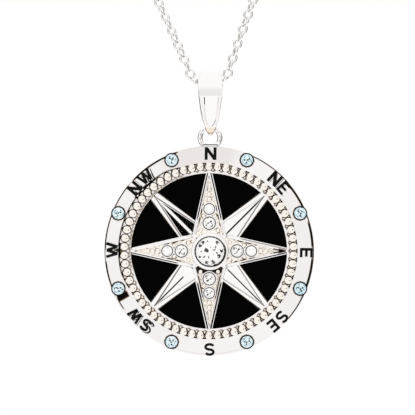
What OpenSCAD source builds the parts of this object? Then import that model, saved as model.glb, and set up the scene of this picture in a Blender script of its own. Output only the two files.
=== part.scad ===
/* [Disc] */
// Outside diameter of the disc
disc_d = 25.4; // [24:0.1:28]
// Thickness of the disc from its back to the inner edge of the rim
disc_t = 2; // [2:0.1:3]
// Width of the smooth rim round the beads
rim_w = 1.77; // [1.75:0.01:2]
// Fall of the rim's face from its inner to its outer edge
rim_fall = 0.1; // [0.05:0.01:0.2]
// Bevel round the outer edge of the disc, front and back
edge_bevel = 0.12; // [0.05:0.01:0.3]
// Width of the channel that the beads stand in
channel_w = 1.2; // [1.1:0.05:1.4]
// Width of the plain lip round the enamel
lip_w = 0.33; // [0.25:0.01:0.5]
// Number of beads in the channel
bead_count = 62; // [30:1:62]
// Diameter of a bead
bead_d = 1; // [0.6:0.05:1]

/* [Enamel] */
// Depth of the enamel's face below the lip
enamel_sink = 0.4; // [0.2:0.05:0.5]
// Thickness of the enamel
enamel_t = 0.4; // [0.2:0.05:0.5]

/* [Star] */
// Width of the north, east, south and west arms at the root
cardinal_root_w = 3.38; // [3:0.02:3.6]
// Width of the north, east, south and west arms at the lip
cardinal_tip_w = 0.8; // [0.7:0.02:1.2]
// Width of the four arms between them at the root
between_root_w = 2.9; // [2.6:0.02:3.2]
// Width of the four arms between them at the lip
between_tip_w = 1.22; // [1:0.02:1.4]
// Height of the raised edge of a cardinal arm above the lip
border_rise = 0.3; // [0.2:0.05:0.5]
// Height of the ridge of an arm between them above the lip, at the root
ridge_rise = 0.5; // [0.3:0.05:0.7]

/* [Stones] */
// Diameter of the centre stone
centre_d = 3.5; // [3:0.1:3.6]
// Diameter of the inner stone on each cardinal arm
inner_d = 1.5; // [1.2:0.05:1.6]
// Diameter of the outer stone on each cardinal arm
outer_d = 1.3; // [1:0.05:1.4]
// Diameter of the blue stones in the rim
rim_stone_d = 1.5; // [1.2:0.05:1.5]

/* [Bail and ring] */
// Outside diameter of the ring soldered to the disc
ring_d = 3; // [2.8:0.1:3.2]
// Diameter of the ring's wire
ring_wire = 0.6; // [0.5:0.05:0.6]
// Outside depth of the bail at its top, front to back
bail_depth = 3.5; // [3.4:0.1:4]
// Thickness of the bail's strip
bail_t = 0.5; // [0.4:0.05:0.5]

/* [Chain] */
// Width of the chain across its links
chain_w = 1.3; // [1:0.05:1.3]
// Outside diameter of the clasp
clasp_d = 5.6; // [5:0.1:7]

/* [Hidden] */
$fn = 64;
gap = 0.02;
hold_gap = 0.1;

// Height of the chain where it carries the bail, measured from the clasp
hang_z = -187;
// Heights above the disc's centre: the chain, the ring's top wire, the bail's ends
hang_up = 20.55;
pivot_up = 14.95;
bail_top_up = hang_up + chain_w / 2 + hold_gap + bail_t;
bail_foot_up = 15.02;
disc_z = hang_z - hang_up;
ring_wire_r = ring_wire / 2;
ring_bend_r = ring_d / 2 - ring_wire_r;

// Radii of the disc's steps
disc_r = disc_d / 2;
rim_r = disc_r - rim_w;
lip_r = rim_r - channel_w;
field_r = lip_r - lip_w;
bead_ring_r = lip_r + bead_d / 2 + 0.03;

// Heights in front of the disc's middle plane
back_h = -disc_t / 2;
rim_h = disc_t / 2;
lip_h = rim_h - rim_fall;
channel_depth = 0.45;
channel_h = lip_h - channel_depth;
bead_h = channel_h + bead_d / 10;
enamel_h = lip_h - enamel_sink;
floor_h = enamel_h - enamel_t - gap;
border_h = lip_h + border_rise;
pocket_h = lip_h;
bezel_rise = 0.8;
bezel_h = lip_h + bezel_rise;
rim_bezel_rise = 0.2;
rim_bezel_h = rim_h + rim_bezel_rise;

// The arms, as distances from the centre and insets from their edges
arm_root = 3.75;
arm_end = field_r + 0.2;
arm_step = 0.14;
arm_border = 0.28;
step_drop = 0.15;
ridge_root = 2.6;
ridge_tip = field_r - 0.05;
ridge_inset = 0.27;
sunk = 0.1;
pocket_end = field_r - 0.35;
tongue_from = 7.1;
tongue_to = 8.7;
tongue_r = [0.36, 0.06];

// The settings
bezel_w = 0.5;
bezel_r = centre_d / 2 + bezel_w;
rim_bezel_w = 0.12;
rim_bezel_r = rim_stone_d / 2 + rim_bezel_w;
collar_w = 0.11;
culet_r = 0.05;
inner_at = 3.36;
outer_at = 5.08;
rim_stone_at = 11.9;
setting_depth = 0.2;
centre_girdle_h = bezel_h - setting_depth;
arm_girdle_h = border_h + 0.08;
rim_girdle_h = rim_bezel_h - 0.08;

// Grains on a cardinal arm: distance from the centre, distance to each side, diameter
grains = [
    [2.5, 1.05, 0.5],
    [4.24, 0.67, 0.48],
    [6.2, 0, 0.5],
    [6.75, 0, 0.4],
];

grain_stand = 0.45;

// A cut stone, as shares of its diameter
table_share = 0.56;
crown_share = 0.16;
girdle_share = 0.03;
pavilion_share = 0.43;
star_share = 0.8;
lower_share = 0.3;

bail_eye_r = 0.5;
clear_of_bail = 6;

// The bail's outline from the front: height above the disc's centre, half-width
bail_outline = [
    [13.9, 0.12],
    [14.5, 0.36],
    [15, 0.48],
    [15.4, 0.8],
    [15.85, 0.97],
    [17.1, 1.21],
    [18.3, 1.37],
    [20.1, 1.55],
    [20.6, 1.5],
    [20.95, 1.4],
    [21.6, 1.15],
    [21.9, 0.95],
];

// The chain's route from the bail round to the clasp, across and up
route_left = [
    [0, -187], [-1.4, -187], [-1.75, -186.95], [-2, -186.75], [-2.2, -186.45], [-2.65, -185.5],
    [-7.15, -175.5], [-25.15, -135.5], [-43.15, -95.5], [-52.15, -75.5],
    [-55.5, -67], [-57.5, -56], [-56.5, -43], [-53, -30.5], [-46, -19.5], [-36.5, -10], [-25, -3.5],
    [-13, -0.5], [-4.4, 0],
];
route_right = [
    [0, -187], [1.25, -187], [1.6, -186.95], [1.9, -186.7], [2.1, -186.4], [2.4, -185.5],
    [5.9, -175.5], [20.3, -135.5], [34.7, -95.5], [41.9, -75.5],
    [45.5, -63], [47, -50], [44.5, -36.5], [39, -24.5], [30.5, -14], [19.5, -6], [10, -2],
    [2.9, 0],
];
tube_sides = 8;
ring_step = 7;

clasp_wire = 1;
trigger_d = 0.8;
trigger_h = 1.6;
clasp_bend_r = (clasp_d - clasp_wire) / 2;
eye_wire = 0.5;
eye_bend_r = 0.65;

// Half of an arm's width at a distance from the centre
function half_w(root_w, tip_w, at) =
    (root_w + (tip_w - root_w) * (at - arm_root) / (field_r - arm_root)) / 2;

// Where two lines cross, each given by two points
function cross_2d(a, b) = a[0] * b[1] - a[1] * b[0];
function meet(a, b, c, d) = a + (b - a) * cross_2d(c - a, d - c) / cross_2d(b - a, d - c);

function turned(p, angle) =
    [p[0] * cos(angle) + p[1] * sin(angle), p[1] * cos(angle) - p[0] * sin(angle)];

// Stands what is drawn flat, front up, on the disc's place
module in_disc() {
    translate([0, 0, disc_z]) rotate([90, 0, 0]) children();
}

// Places something at a bearing, clockwise from north, at a distance from the centre
module at_bearing(bearing, distance = 0) {
    rotate([0, 0, -bearing]) translate([0, distance, 0]) children();
}

// The outline of an arm that points north, narrowed all round by an inset
module arm_outline(root_w, tip_w, inset, from, to) {
    near = half_w(root_w, tip_w, from) - inset;
    far = max(half_w(root_w, tip_w, to) - inset, gap);
    polygon([[-near, from], [near, from], [far, to], [-far, to]]);
}

module disc_body() {
    rotate_extrude()
        polygon([
            [0, back_h],
            [disc_r - edge_bevel, back_h],
            [disc_r, back_h + edge_bevel],
            [disc_r, lip_h - edge_bevel],
            [disc_r - edge_bevel, lip_h],
            [rim_r, rim_h],
            [rim_r, channel_h],
            [lip_r, channel_h],
            [lip_r, lip_h],
            [field_r, lip_h],
            [field_r, floor_h],
            [0, floor_h],
        ]);
}

module beads() {
    for (i = [0:bead_count - 1])
        at_bearing(i * 360 / bead_count, bead_ring_r)
            translate([0, 0, bead_h]) sphere(d = bead_d, $fn = 32);
}

// North, east, south and west arms: a low step, a raised edge and a pocket for the stones
module cardinal_arm() {
    difference() {
        union() {
            translate([0, 0, floor_h - sunk])
                linear_extrude(lip_h - step_drop - floor_h + sunk)
                    arm_outline(cardinal_root_w, cardinal_tip_w, 0, 0, arm_end);
            translate([0, 0, floor_h])
                linear_extrude(border_h - floor_h)
                    arm_outline(cardinal_root_w, cardinal_tip_w, arm_step, 0, arm_end - sunk / 2);
        }
        translate([0, 0, pocket_h])
            linear_extrude(border_h)
                arm_outline(cardinal_root_w, cardinal_tip_w, arm_step + arm_border, 0, pocket_end);
    }
}

// The stone seats, grains and tapered tongue that fill a cardinal arm's pocket
module arm_settings() {
    for (stone = [[inner_at, inner_d], [outer_at, outer_d]])
        translate([0, stone[0], pocket_h - sunk])
            cylinder(r = stone[1] / 2 + collar_w, h = arm_girdle_h - pocket_h + sunk);
    for (g = grains, side = (g[1] > 0 ? [-1, 1] : [1]))
        translate([side * g[1], g[0], pocket_h + g[2] * grain_stand])
            sphere(d = g[2], $fn = 24);
    translate([0, tongue_from, pocket_h])
        rotate([-90, 0, 0])
            cylinder(r1 = tongue_r[0], r2 = tongue_r[1], h = tongue_to - tongue_from, $fn = 32);
}

// The arms between them: a flat edge and two faces that rise to a ridge
module between_arm() {
    translate([0, 0, floor_h - sunk])
        linear_extrude(lip_h - floor_h + sunk)
            arm_outline(between_root_w, between_tip_w, 0, 0, arm_end);
    root_half = (between_root_w / 2 - ridge_inset) * (ridge_tip - ridge_root) / (ridge_tip - arm_root);
    ridge_top = lip_h + ridge_rise * (ridge_tip - ridge_root) / (ridge_tip - arm_root);
    sunk_h = lip_h - sunk;
    polyhedron(
        points = [
            [-root_half, ridge_root, sunk_h],
            [root_half, ridge_root, sunk_h],
            [0, ridge_tip, sunk_h],
            [-root_half, ridge_root, lip_h],
            [root_half, ridge_root, lip_h],
            [0, ridge_tip, lip_h],
            [0, ridge_root, ridge_top],
        ],
        faces = [
            [0, 1, 2],
            [0, 3, 6, 4, 1],
            [1, 4, 5, 2],
            [2, 5, 3, 0],
            [3, 5, 6],
            [4, 6, 5],
        ]
    );
}

// A seat for a stone: straight down to the girdle, then a cone under the pavilion
module seat(d, girdle_h) {
    seat_r = d / 2 + gap;
    below = d * pavilion_share + gap;
    translate([0, 0, girdle_h - d * girdle_share / 2 - gap])
        cylinder(r = seat_r, h = d);
    translate([0, 0, girdle_h - d * girdle_share / 2 - gap - below])
        cylinder(r1 = culet_r, r2 = seat_r, h = below);
}

module soldered_ring() {
    translate([0, pivot_up - ring_bend_r, 0])
        rotate_extrude() translate([ring_bend_r, 0]) circle(r = ring_wire_r, $fn = 32);
}

module disc_casting() {
    color("gainsboro") in_disc() difference() {
        union() {
            disc_body();
            beads();
            for (bearing = [0:90:270]) at_bearing(bearing) cardinal_arm();
            for (bearing = [0:90:270]) at_bearing(bearing) arm_settings();
            for (bearing = [45:90:315]) at_bearing(bearing) between_arm();
            translate([0, 0, floor_h]) cylinder(r = bezel_r, h = bezel_h - floor_h);
            for (i = [0:7]) at_bearing(22.5 + i * 45, rim_stone_at)
                cylinder(r = rim_bezel_r, h = rim_bezel_h);
            soldered_ring();
        }
        seat(centre_d, centre_girdle_h);
        for (bearing = [0:90:270]) {
            at_bearing(bearing, inner_at) seat(inner_d, arm_girdle_h);
            at_bearing(bearing, outer_at) seat(outer_d, arm_girdle_h);
        }
        for (i = [0:7]) at_bearing(22.5 + i * 45, rim_stone_at) seat(rim_stone_d, rim_girdle_h);
    }
}

// One of the eight black cells, between the edges of two arms and the lip
module enamel(i) {
    bearing = (i - 1) * 45;
    even = i % 2 == 1;
    w_a = even ? [cardinal_root_w, cardinal_tip_w] : [between_root_w, between_tip_w];
    w_b = even ? [between_root_w, between_tip_w] : [cardinal_root_w, cardinal_tip_w];
    far = 2 * field_r;
    a0 = [half_w(w_a[0], w_a[1], 0) + gap, 0];
    a1 = [half_w(w_a[0], w_a[1], arm_end) + gap, arm_end];
    b0 = turned([-half_w(w_b[0], w_b[1], 0) - gap, 0], 45);
    b1 = turned([-half_w(w_b[0], w_b[1], arm_end) - gap, arm_end], 45);
    corner = meet(a0, a1, b0, b1);
    a2 = a0 + (a1 - a0) * far / arm_end;
    b2 = b0 + (b1 - b0) * far / arm_end;
    color("black") in_disc() at_bearing(bearing)
        intersection() {
            translate([0, 0, enamel_h - enamel_t]) cylinder(r = field_r - gap, h = enamel_t);
            translate([0, 0, enamel_h - 2 * enamel_t]) linear_extrude(2 * enamel_t)
                polygon([corner, a2, b2]);
        }
}

// A round brilliant: octagonal table, star, kite and girdle faces, and a pointed pavilion
module brilliant(d) {
    r = d / 2;
    table_r = r * table_share;
    star_r = r * star_share;
    lower_r = r * lower_share;
    top = d * (crown_share + girdle_share / 2);
    girdle_top = d * girdle_share / 2;
    slope = (top - girdle_top) / (r - table_r);
    star_top = top - (star_r * cos(22.5) - table_r) * slope;
    culet = -girdle_top - d * pavilion_share;
    lower_top = culet + d * pavilion_share * lower_r * cos(22.5) / r;
    points = concat(
        [for (k = [0:7]) [table_r * cos(45 * k), table_r * sin(45 * k), top]],
        [for (k = [0:7]) [star_r * cos(45 * k + 22.5), star_r * sin(45 * k + 22.5), star_top]],
        [for (k = [0:15]) [r * cos(22.5 * k), r * sin(22.5 * k), girdle_top]],
        [for (k = [0:15]) [r * cos(22.5 * k), r * sin(22.5 * k), -girdle_top]],
        [for (k = [0:7]) [lower_r * cos(45 * k + 22.5), lower_r * sin(45 * k + 22.5), lower_top]],
        [[0, 0, culet]]
    );
    faces = concat(
        [[for (k = [7:-1:0]) k]],
        [for (k = [0:7]) [k, (k + 1) % 8, 8 + k]],
        [for (k = [0:7]) [k, 8 + k, 16 + 2 * k, 8 + (k + 7) % 8]],
        [for (k = [0:7]) [8 + k, 16 + 2 * k + 1, 16 + 2 * k]],
        [for (k = [0:7]) [8 + k, 16 + (2 * k + 2) % 16, 16 + 2 * k + 1]],
        [for (k = [0:15]) [16 + k, 16 + (k + 1) % 16, 32 + (k + 1) % 16, 32 + k]],
        [for (k = [0:7]) [48 + k, 32 + 2 * k, 32 + 2 * k + 1]],
        [for (k = [0:7]) [48 + k, 32 + 2 * k + 1, 32 + (2 * k + 2) % 16]],
        [for (k = [0:7]) [56, 48 + (k + 7) % 8, 32 + 2 * k, 48 + k]]
    );
    polyhedron(points = points, faces = faces);
}

module centre_stone() {
    color("aliceblue") in_disc() translate([0, 0, centre_girdle_h]) brilliant(centre_d);
}

// Two on each cardinal arm: odd numbers are the inner stones, even numbers the outer ones
module arm_stone(i) {
    bearing = floor((i - 1) / 2) * 90;
    inner = i % 2 == 1;
    color("aliceblue") in_disc() at_bearing(bearing, inner ? inner_at : outer_at)
        translate([0, 0, arm_girdle_h]) brilliant(inner ? inner_d : outer_d);
}

module rim_stone(i) {
    color("skyblue") in_disc() at_bearing(i * 45 - 22.5, rim_stone_at)
        translate([0, 0, rim_girdle_h]) brilliant(rim_stone_d);
}

// A large arc over a small one with the sides straight between them
function drop_outline(top_r, foot_r, top_y, foot_y) =
    let (lean = asin((top_r - foot_r) / (top_y - foot_y)), over = 180 + 2 * lean, under = 180 - 2 * lean)
    concat(
        [for (k = [0:40]) let (a = -lean + over * k / 40) [top_r * cos(a), top_y + top_r * sin(a)]],
        [for (k = [0:24]) let (a = 180 + lean + under * k / 24) [foot_r * cos(a), foot_y + foot_r * sin(a)]]
    );

module bail() {
    top_r = bail_depth / 2;
    top_y = bail_top_up - top_r;
    foot_r = bail_eye_r + bail_t;
    color("gainsboro") translate([0, 0, disc_z]) intersection() {
        rotate([90, 0, 90]) difference() {
            linear_extrude(clear_of_bail, center = true)
                polygon(drop_outline(top_r, foot_r, top_y, bail_foot_up));
            linear_extrude(2 * clear_of_bail, center = true)
                polygon(drop_outline(top_r - bail_t, foot_r - bail_t, top_y, bail_foot_up));
        }
        rotate([90, 0, 0]) linear_extrude(clear_of_bail, center = true)
            polygon(concat(
                [for (row = bail_outline) [row[1], row[0]]],
                [for (i = [len(bail_outline) - 1:-1:0]) [-bail_outline[i][1], bail_outline[i][0]]]
            ));
    }
}

// The direction of a route at one of its points: the nearer neighbour counts for more
function unit(v) = v / norm(v);
function heading(p, i) =
    i == 0 ? unit([p[1][0] - p[0][0], 0])
    : i == len(p) - 1 ? unit([p[i][0] - p[i - 1][0], 0])
    : unit(unit(p[i] - p[i - 1]) * norm(p[i + 1] - p[i]) + unit(p[i + 1] - p[i]) * norm(p[i] - p[i - 1]));

// A point on the smooth curve between two of the route's points
function between(p, i, s) =
    let (a = p[i], b = p[i + 1], l = norm(b - a))
    a * (2 * s * s * s - 3 * s * s + 1) + heading(p, i) * l * (s * s * s - 2 * s * s + s)
    + b * (3 * s * s - 2 * s * s * s) + heading(p, i + 1) * l * (s * s * s - s * s);

function steps(p, i) = max(1, round(norm(p[i + 1] - p[i]) / ring_step));
function smooth(p) = concat(
    [for (i = [0:len(p) - 2], j = [0:steps(p, i) - 1]) between(p, i, j / steps(p, i))],
    [p[len(p) - 1]]
);

// A round tube along a route that lies in the plane of the necklace
module tube(route, r) {
    p = smooth(route);
    n = len(p);
    dirs = [for (i = [0:n - 1])
        i == 0 || i == n - 1 ? [sign(p[n - 1][0]), 0] * (i == 0 ? 1 : -1) : unit(p[i + 1] - p[i - 1])];
    points = [for (i = [0:n - 1], k = [0:tube_sides - 1])
        let (a = (k + 0.5) * 360 / tube_sides)
        [p[i][0] - dirs[i][1] * r * cos(a), r * sin(a), p[i][1] + dirs[i][0] * r * cos(a)]];
    sides = [for (i = [0:n - 2], k = [0:tube_sides - 1])
        let (q = (k + 1) % tube_sides)
        [i * tube_sides + k, i * tube_sides + q, (i + 1) * tube_sides + q, (i + 1) * tube_sides + k]];
    start_cap = [for (k = [tube_sides - 1:-1:0]) k];
    end_cap = [for (k = [0:tube_sides - 1]) (n - 1) * tube_sides + k];
    polyhedron(points = points, faces = concat(sides, [start_cap, end_cap]));
}

module chain_left() {
    color("silver") tube(route_left, chain_w / 2);
}

module chain_right() {
    color("silver") tube(route_right, chain_w / 2);
}

module clasp() {
    color("silver") rotate([90, 0, 0]) {
        rotate_extrude() translate([clasp_bend_r, 0]) circle(d = clasp_wire, $fn = 32);
        translate([-clasp_bend_r - clasp_wire / 2 - eye_bend_r, 0, 0])
            rotate_extrude() translate([eye_bend_r, 0]) circle(d = eye_wire, $fn = 24);
        translate([0, clasp_bend_r, 0]) cylinder(d = trigger_d, h = trigger_h, center = true, $fn = 32);
    }
}

disc_casting();
for (i = [1:8]) enamel(i);
centre_stone();
for (i = [1:8]) arm_stone(i);
for (i = [1:8]) rim_stone(i);
bail();
chain_left();
chain_right();
clasp();
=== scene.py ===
import math

import bpy
import numpy as np
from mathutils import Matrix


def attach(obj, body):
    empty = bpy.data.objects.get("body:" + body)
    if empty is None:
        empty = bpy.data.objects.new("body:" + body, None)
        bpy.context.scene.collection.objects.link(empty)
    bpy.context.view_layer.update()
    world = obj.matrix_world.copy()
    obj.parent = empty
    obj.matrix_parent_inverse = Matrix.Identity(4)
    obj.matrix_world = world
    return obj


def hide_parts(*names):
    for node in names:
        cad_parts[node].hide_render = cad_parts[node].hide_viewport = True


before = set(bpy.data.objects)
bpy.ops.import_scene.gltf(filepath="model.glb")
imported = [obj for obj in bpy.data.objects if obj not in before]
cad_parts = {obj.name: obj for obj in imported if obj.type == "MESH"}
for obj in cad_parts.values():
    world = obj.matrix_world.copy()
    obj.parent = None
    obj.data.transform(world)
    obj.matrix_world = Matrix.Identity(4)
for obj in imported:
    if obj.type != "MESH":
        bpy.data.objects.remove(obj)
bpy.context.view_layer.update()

millimetre = 0.001
quarters = (0, 90, 180, 270)
discHeight = -207.55  # the disc's centre, up from the clasp, in millimetres


# Rises evenly from nought at the start to one after the width, or falls to nought where the width is negative
def ramp(value, start, width):
    return np.clip((value - start) / width, 0, 1)


# One from low to high, with an even fade inside each end
def window(value, low, high, fade):
    return ramp(value, low, fade) * ramp(value, high, -fade)


# One inside a stretch of bearings, fading to nought over so many degrees outside it
def within(bearing, first, last, fade):
    off = np.abs((bearing - (first + last) / 2 + 180) % 360 - 180) - (last - first) / 2
    return np.clip(1 - off / fade, 0, 1)


# Bearing clockwise from the top, in degrees, and distance from the axis
def polar(points):
    return np.degrees(np.arctan2(points[:, 0], points[:, 1])), np.hypot(points[:, 0], points[:, 1])


# Numbers and arrays spread to one shape and set side by side
def stacked(*parts):
    return np.stack(np.broadcast_arrays(*parts), -1)


# A closed skin over rings of points: each joins the next, and the last the first or both ends a pole. A
# point holds across, up, forward and its painted light and shade, where 1 is painted black shade and -1 a
# painted gold reflection
def ringsShell(rings, poles=None):
    rows, columns = rings.shape[:2]
    row, column = np.meshgrid(np.arange(rows - (poles is not None)), np.arange(columns), indexing="ij")
    nextRow, nextColumn = (row + 1) % rows * columns, (column + 1) % columns
    row = row * columns
    quads = stacked(row + column, nextRow + column, nextRow + nextColumn, row + nextColumn).reshape(-1, 4)
    points = rings.reshape(-1, 4)
    if poles is None:
        return points, quads, np.empty((0, 3), int)
    here = np.arange(columns)
    after = (here + 1) % columns
    count, last = len(points), (rows - 1) * columns
    fans = np.concatenate([stacked(count, here, after), stacked(count + 1, last + after, last + here)])
    return np.concatenate([points, np.asarray(poles, float)]), quads, fans


# A skin whose two end rings are closed by a fan to their own middle
def closedRings(rings):
    return ringsShell(rings, [rings[0].mean(0), rings[-1].mean(0)])


# Each corner becomes a parabola between the points one radius back along its two sides
def rounded(corners, radii, steps=4, closed=True):
    corners = np.asarray(corners, float)
    ends = []
    for side in (np.roll(corners, 1, -2) - corners, np.roll(corners, -1, -2) - corners):
        length = np.maximum(np.linalg.norm(side[..., :2], axis=-1), 1e-9)
        ends.append((corners + side * np.minimum(radii / length, 0.45)[..., None])[..., None, :])
    s = np.linspace(0, 1, steps)[:, None]
    curve = (1 - s) ** 2 * ends[0] + 2 * s * (1 - s) * corners[..., None, :] + s ** 2 * ends[1]
    curve = curve.reshape(*corners.shape[:-2], -1, corners.shape[-1])
    return curve if closed else np.concatenate([corners[:1], curve[steps:-steps], corners[-1:]])


# Points added evenly on every side of a profile that is longer than the longest allowed
def subdivided(profile, longest):
    sides = np.diff(profile, axis=0)
    counts = np.maximum(np.ceil(np.linalg.norm(sides[:, :2], axis=1) / longest).astype(int), 1)
    index = np.repeat(np.arange(len(sides)), counts)
    share = (np.arange(counts.sum()) - np.repeat(np.cumsum(counts) - counts, counts)) / counts[index]
    return np.concatenate([profile[index] + share[:, None] * sides[index], profile[-1:]])


# A closed profile of radius, height and painted light and shade, turned round the axis into a ring
def revolvedRing(profile, columns, poles=None):
    turn = np.linspace(0, 2 * np.pi, columns, endpoint=False)
    radius, height, paintedLight = profile[:, :1], profile[:, 1:2], profile[:, 2:3]
    return ringsShell(stacked(radius * np.sin(turn), radius * np.cos(turn), height, paintedLight), poles)


# The same for a profile that runs from axis to axis: its two ends become poles
def revolved(profile, columns):
    return revolvedRing(profile[1:-1], columns, [[0, 0, profile[k, 1], profile[k, 2]] for k in (0, -1)])


# A torus: a circle carried round a circle. A power below one pushes its section towards a square
def torus(bend, wire, columns, sides, squareness=1):
    turn = np.linspace(0, 2 * np.pi, sides, endpoint=False)
    out, up = (np.sign(wave) * np.abs(wave) ** squareness for wave in (np.cos(turn), np.sin(turn)))
    return revolvedRing(stacked(bend + wire * out, wire * up, 0), columns)


# Several shells as one
def joined(shells):
    starts = np.cumsum([0] + [len(points) for points, _, _ in shells])
    points, quads, fans = zip(*((points, quads + start, fans + start)
                                for (points, quads, fans), start in zip(shells, starts)))
    return np.concatenate(points), np.concatenate(quads), np.concatenate(fans)


# Moved by three distances
def shifted(shell, across, up, forward=0):
    return shell[0] + np.array([across, up, forward, 0]), *shell[1:]


# Out by a distance, and round by a bearing clockwise, seen from the front
def atBearing(shell, bearing, distance=0):
    points, quads, fans = shell
    a = math.radians(bearing)
    across, up = points[:, 0], points[:, 1] + distance
    return stacked(across * math.cos(a) + up * math.sin(a), up * math.cos(a) - across * math.sin(a),
                   points[:, 2], points[:, 3]), quads, fans


# A copy at each bearing
def allRound(shell, bearings, distance=0):
    return joined([atBearing(shell, bearing, distance) for bearing in bearings])


# Across, up and forward as the frame's x, z and -y
def facing(shell, height=0):
    points, quads, fans = shell
    return stacked(points[:, 0], -points[:, 2], points[:, 1] + height, points[:, 3]), quads, fans


# A mesh object at the origin. The volume inside a skin is the sum of its triangles' tetrahedra from the
# origin, and where that is below nought the skin faces inwards and is turned
def newObject(name, shell, material):
    points, quads, fans = shell
    triangles = np.concatenate([quads[:, [0, 1, 2]], quads[:, [0, 2, 3]], fans])
    a, b, c = (points[triangles[:, k], :3] for k in range(3))
    if np.einsum("ij,ij->i", a, np.cross(b, c)).sum() < 0:
        quads, fans = quads[:, ::-1], fans[:, ::-1]
    mesh = bpy.data.meshes.new(name)
    mesh.from_pydata(points[:, :3] * millimetre, [], quads.tolist() + fans.tolist())
    mesh.materials.append(material)
    made = bpy.data.objects.new(name, mesh)
    bpy.context.scene.collection.objects.link(made)
    return made


# A piece that rides on a body in place of its nodes, and keeps each point's painted light and shade. A
# stone's faces are flat and have a painted shade each, and an even piece has normals that follow its larger
# faces
def putPiece(name, shell, body, material, replaced, even=False, faceShade=None):
    piece = newObject(name, shell, material)
    mesh = piece.data
    mesh.polygons.foreach_set("use_smooth", np.full(len(mesh.polygons), faceShade is None))
    paintedLight = mesh.attributes.new("paintedLight", "FLOAT", "POINT")
    paintedLight.data.foreach_set("value", shell[0][:, 3].astype(np.float32))
    if faceShade is not None:
        shade = mesh.attributes.new("shade", "FLOAT", "FACE")
        shade.data.foreach_set("value", np.asarray(faceShade, np.float32))
    mesh.update()
    if even:
        normals = piece.modifiers.new("evenFaces", "WEIGHTED_NORMAL")
        normals.weight = 80
        normals.keep_sharp = True
    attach(piece, body)
    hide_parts(*replaced)


# A silver piece of the disc, which is one casting in the source
def putOnDisc(name, shell, material, even=False):
    putPiece(name, facing(shell, discHeight), "pendant", material, ["disc_casting"], even)


# A material with its node tree and its shader
def newMaterial(name):
    material = bpy.data.materials.new(name)
    material.use_nodes = True
    return material, material.node_tree, material.node_tree.nodes["Principled BSDF"]


# Each input takes a link from another node's output, or a value of its own
def setInputs(tree, node, values):
    for key, value in values.items():
        socket = node.inputs[key]
        if isinstance(value, bpy.types.NodeSocket):
            tree.links.new(value, socket)
        else:
            socket.default_value = (*value, 1) if socket.type == "RGBA" else value


# A node by its kind, with its settings and inputs; what it gives is the output named
def addNode(tree, kind, inputs, output, **settings):
    node = tree.nodes.new("ShaderNode" + kind)
    for key, value in settings.items():
        setattr(node, key, value)
    setInputs(tree, node, inputs)
    return node.outputs[output]


# Noise laid through the metal by its place, which may be stretched along an axis
def objectNoise(tree, scale, detail, stretch=(1, 1, 1)):
    place = addNode(tree, "TexCoord", {}, "Object")
    place = addNode(tree, "Mapping", {"Vector": place, "Scale": stretch}, "Vector")
    return addNode(tree, "TexNoise", {"Vector": place, "Scale": scale, "Detail": detail}, "Fac")


# From the first colour at a factor of nought to the second at one. In a mix node they are inputs 6 and 7,
# and the mixed colour is output 2
def mixColour(tree, factor, first, second):
    return addNode(tree, "Mix", {0: factor, 6: first, 7: second}, 2, data_type="RGBA")


# Evenly from low to high while the value goes from one bound to the other, and no further
def remapped(tree, value, low, high, fromLow=0.3, fromHigh=0.7):
    return addNode(tree, "MapRange", {"Value": value, "From Min": fromLow, "From Max": fromHigh,
                                      "To Min": low, "To Max": high}, "Result")


# Relief a hundredth of a millimetre deep
def bumped(tree, height, strength):
    inputs = {"Height": height, "Strength": strength, "Distance": 0.01 * millimetre}
    return addNode(tree, "Bump", inputs, "Normal")


# How much of each painted tone there is at a lower value of painted light and shade and at a higher one, and
# those two values
toneSteps = {"blush": (1, 0, -0.5, 0), "gold": (1, 0, -1, -0.5), "brown": (0, 1, 0.02, 0.5),
             "blackShade": (0, 1, 0.5, 0.95)}


# Polished white metal: faint clouds in its colour and fine wear in its polish. Where its painted light and
# shade is high, painted shade in brown and then black, for recesses, shadows and dark reflections; where it
# is below nought, a soft and then a gold painted reflection of other things
def polishedSilver(name, values):
    material, tree, shader = newMaterial(name)
    clouds = objectNoise(tree, values["cloudScale"], 3)
    wear = objectNoise(tree, values["wearScale"], 5, (1, 1, 2.5))
    paintedLight = addNode(tree, "Attribute", {}, "Fac", attribute_name="paintedLight")
    colour = mixColour(tree, clouds, values["light"], values["warm"])
    for tone, step in toneSteps.items():
        colour = mixColour(tree, remapped(tree, paintedLight, *step), colour, values[tone])
    setInputs(tree, shader, {
        "Base Color": colour, "Roughness": remapped(tree, wear, *values["roughness"]), "Metallic": 1,
        "Normal": bumped(tree, wear, values["bump"])})
    return material


silver = polishedSilver("polishedSilver", {
    "light": (0.985, 0.975, 0.97), "warm": (0.955, 0.935, 0.92), "blush": (0.93, 0.81, 0.69),
    "gold": (0.9, 0.66, 0.42), "brown": (0.2, 0.15, 0.12), "blackShade": (0.005, 0.004, 0.004),
    "cloudScale": 260, "wearScale": 2600, "roughness": (0.02, 0.08), "bump": 0.1})
rimSilver = polishedSilver("rimSilver", {
    "light": (0.95, 0.935, 0.93), "warm": (0.885, 0.855, 0.845), "blush": (0.77, 0.72, 0.695),
    "gold": (0.85, 0.67, 0.48), "brown": (0.27, 0.18, 0.1), "blackShade": (0.004, 0.0035, 0.003),
    "cloudScale": 150, "wearScale": 2600, "roughness": (0.02, 0.08), "bump": 0.1})
beadSilver = polishedSilver("beadSilver", {
    "light": (0.98, 0.95, 0.9), "warm": (0.95, 0.88, 0.79), "blush": (0.93, 0.79, 0.63),
    "gold": (0.9, 0.66, 0.42), "brown": (0.34, 0.24, 0.16), "blackShade": (0.02, 0.013, 0.009),
    "cloudScale": 900, "wearScale": 3000, "roughness": (0.05, 0.14), "bump": 0.2})


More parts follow.
